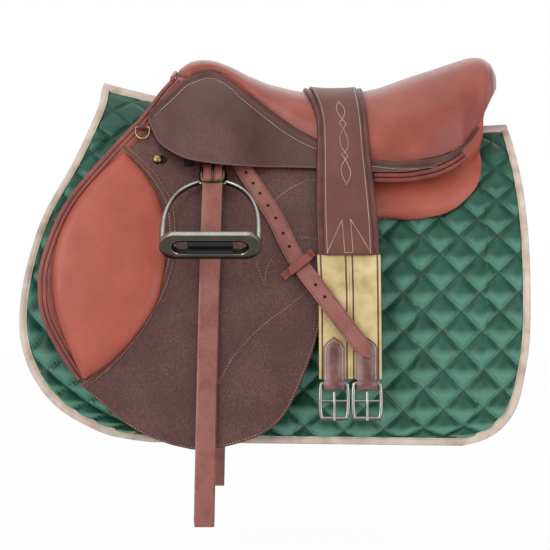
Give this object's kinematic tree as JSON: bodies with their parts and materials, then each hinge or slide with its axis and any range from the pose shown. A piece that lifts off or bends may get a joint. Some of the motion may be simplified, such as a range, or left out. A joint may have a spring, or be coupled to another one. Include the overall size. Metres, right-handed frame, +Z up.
{
  "type": "jumping saddle",
  "caption": "Close-contact jumping saddle with seat, flaps, knee pads and panels, on a quilted pad, with run-up stirrups and a two-buckle elastic girth laid over the seat.",
  "frame": {"origin": "on the centre plane, at the top of the horse's back under the middle of the pad: the point a horse or a saddle stand carries", "axes": "+X towards the cantle (the horse faces -X), +Y towards the horse's off side, +Z up"},
  "size_m": [0.7011, 0.5928, 0.6529],
  "materials": {
    "pad_cloth": "satin",
    "binding": "satin",
    "tree_laminate": "matte",
    "head_steel": "satin",
    "webbing": "matte",
    "foam": "matte",
    "seat_leather": "satin",
    "girth_leather": "satin",
    "girth_overlay_leather": "satin",
    "panel_leather": "satin",
    "sweat_leather": "matte",
    "flap_leather": "satin",
    "knee_leather": "satin",
    "skirt_leather": "satin",
    "piping_leather": "satin",
    "billet_leather": "matte",
    "bar_steel": "satin",
    "catch_steel": "satin",
    "strap_leather": "satin",
    "iron_steel": "polished",
    "tread_rubber": "matte",
    "keeper_leather": "satin",
    "brass": "polished",
    "loop_leather": "satin",
    "elastic": "matte",
    "chape_leather": "gloss",
    "buckle_steel": "polished"
  },
  "bodies": {
    "saddle": {"saddle_pad": "pad_cloth", "pad_binding": "binding", "tree": "tree_laminate", "head_plate": "head_steel", "seat_webbing": "webbing", "seat_foam": "foam", "seat_cover": "seat_leather", "girth_body": "girth_leather", "girth_overlay": "girth_overlay_leather", "panel_left": "panel_leather", "sweat_flap_left": "sweat_leather", "flap_left": "flap_leather", "knee_pad_left": "knee_leather", "skirt_left": "skirt_leather", "rear_piping_left": "piping_leather", "girth_billets_left": "billet_leather", "stirrup_bar_left": "bar_steel", "leather_tail_left": "strap_leather", "keeper_left": "keeper_leather", "dee_loop_left": "loop_leather", "flap_stud_left": "brass", "girth_elastic_left_1": "elastic", "girth_chape_left_1": "chape_leather", "girth_elastic_left_2": "elastic", "girth_chape_left_2": "chape_leather", "panel_right": "panel_leather", "sweat_flap_right": "sweat_leather", "flap_right": "flap_leather", "knee_pad_right": "knee_leather", "skirt_right": "skirt_leather", "rear_piping_right": "piping_leather", "girth_billets_right": "billet_leather", "stirrup_bar_right": "bar_steel", "leather_tail_right": "strap_leather", "keeper_right": "keeper_leather", "dee_loop_right": "loop_leather", "flap_stud_right": "brass", "girth_elastic_right_1": "elastic", "girth_chape_right_1": "chape_leather", "girth_elastic_right_2": "elastic", "girth_chape_right_2": "chape_leather"},
    "leather_left": {"stirrup_leather_left": "strap_leather"},
    "iron_left": {"stirrup_iron_left": "iron_steel", "tread_rubber_left": "tread_rubber"},
    "catch_left": {"bar_catch_left": "catch_steel"},
    "dee_left": {"dee_ring_left": "brass"},
    "buckle_left_1": {"girth_buckle_left_1": "buckle_steel"},
    "tongue_left_1": {"buckle_tongue_left_1": "buckle_steel"},
    "buckle_left_2": {"girth_buckle_left_2": "buckle_steel"},
    "tongue_left_2": {"buckle_tongue_left_2": "buckle_steel"},
    "leather_right": {"stirrup_leather_right": "strap_leather"},
    "iron_right": {"stirrup_iron_right": "iron_steel", "tread_rubber_right": "tread_rubber"},
    "catch_right": {"bar_catch_right": "catch_steel"},
    "dee_right": {"dee_ring_right": "brass"},
    "buckle_right_1": {"girth_buckle_right_1": "buckle_steel"},
    "tongue_right_1": {"buckle_tongue_right_1": "buckle_steel"},
    "buckle_right_2": {"girth_buckle_right_2": "buckle_steel"},
    "tongue_right_2": {"buckle_tongue_right_2": "buckle_steel"}
  },
  "joints": [
    {"name": "leather_swing_left", "type": "hinge", "parent": "saddle", "child": "leather_left", "pos_m": [-0.085, -0.16752, -0.054], "axis": [-1, 0, 0], "range_deg": [0, 7.5]},
    {"name": "iron_swing_left", "type": "hinge", "parent": "leather_left", "child": "iron_left", "pos_m": [-0.08503, -0.17813, -0.08], "axis": [-1, 0, 0], "range_deg": [-5, 6.5]},
    {"name": "bar_catch_left", "type": "hinge", "parent": "saddle", "child": "catch_left", "pos_m": [-0.0542, -0.16752, -0.054], "axis": [0, -1, 0], "range_deg": [0, 60]},
    {"name": "dee_swing_left", "type": "hinge", "parent": "saddle", "child": "dee_left", "pos_m": [-0.183, -0.15295, -0.011], "axis": [-1, 0, 0], "range_deg": [0, 25]},
    {"name": "buckle_swing_left_1", "type": "hinge", "parent": "saddle", "child": "buckle_left_1", "pos_m": [0.079, -0.23346, -0.36052], "axis": [-1, 0, 0], "range_deg": [0, 30]},
    {"name": "tongue_lift_left_1", "type": "hinge", "parent": "buckle_left_1", "child": "tongue_left_1", "pos_m": [0.079, -0.23493, -0.38347], "axis": [-1, 0, 0], "range_deg": [0, 40]},
    {"name": "buckle_swing_left_2", "type": "hinge", "parent": "saddle", "child": "buckle_left_2", "pos_m": [0.123, -0.23321, -0.36051], "axis": [-1, 0, 0], "range_deg": [0, 30]},
    {"name": "tongue_lift_left_2", "type": "hinge", "parent": "buckle_left_2", "child": "tongue_left_2", "pos_m": [0.123, -0.23473, -0.38345], "axis": [-1, 0, 0], "range_deg": [0, 40]},
    {"name": "leather_swing_right", "type": "hinge", "parent": "saddle", "child": "leather_right", "pos_m": [-0.085, 0.16752, -0.054], "axis": [1, 0, 0], "range_deg": [0, 7.5]},
    {"name": "iron_swing_right", "type": "hinge", "parent": "leather_right", "child": "iron_right", "pos_m": [-0.08503, 0.17813, -0.08], "axis": [1, 0, 0], "range_deg": [-5, 6.5]},
    {"name": "bar_catch_right", "type": "hinge", "parent": "saddle", "child": "catch_right", "pos_m": [-0.0542, 0.16752, -0.054], "axis": [0, -1, 0], "range_deg": [0, 60]},
    {"name": "dee_swing_right", "type": "hinge", "parent": "saddle", "child": "dee_right", "pos_m": [-0.183, 0.15295, -0.011], "axis": [1, 0, 0], "range_deg": [0, 25]},
    {"name": "buckle_swing_right_1", "type": "hinge", "parent": "saddle", "child": "buckle_right_1", "pos_m": [0.079, 0.23346, -0.36052], "axis": [1, 0, 0], "range_deg": [0, 30]},
    {"name": "tongue_lift_right_1", "type": "hinge", "parent": "buckle_right_1", "child": "tongue_right_1", "pos_m": [0.079, 0.23493, -0.38347], "axis": [1, 0, 0], "range_deg": [0, 40]},
    {"name": "buckle_swing_right_2", "type": "hinge", "parent": "saddle", "child": "buckle_right_2", "pos_m": [0.123, 0.23321, -0.36051], "axis": [1, 0, 0], "range_deg": [0, 30]},
    {"name": "tongue_lift_right_2", "type": "hinge", "parent": "buckle_right_2", "child": "tongue_right_2", "pos_m": [0.123, 0.23473, -0.38345], "axis": [1, 0, 0], "range_deg": [0, 40]}
  ]
}
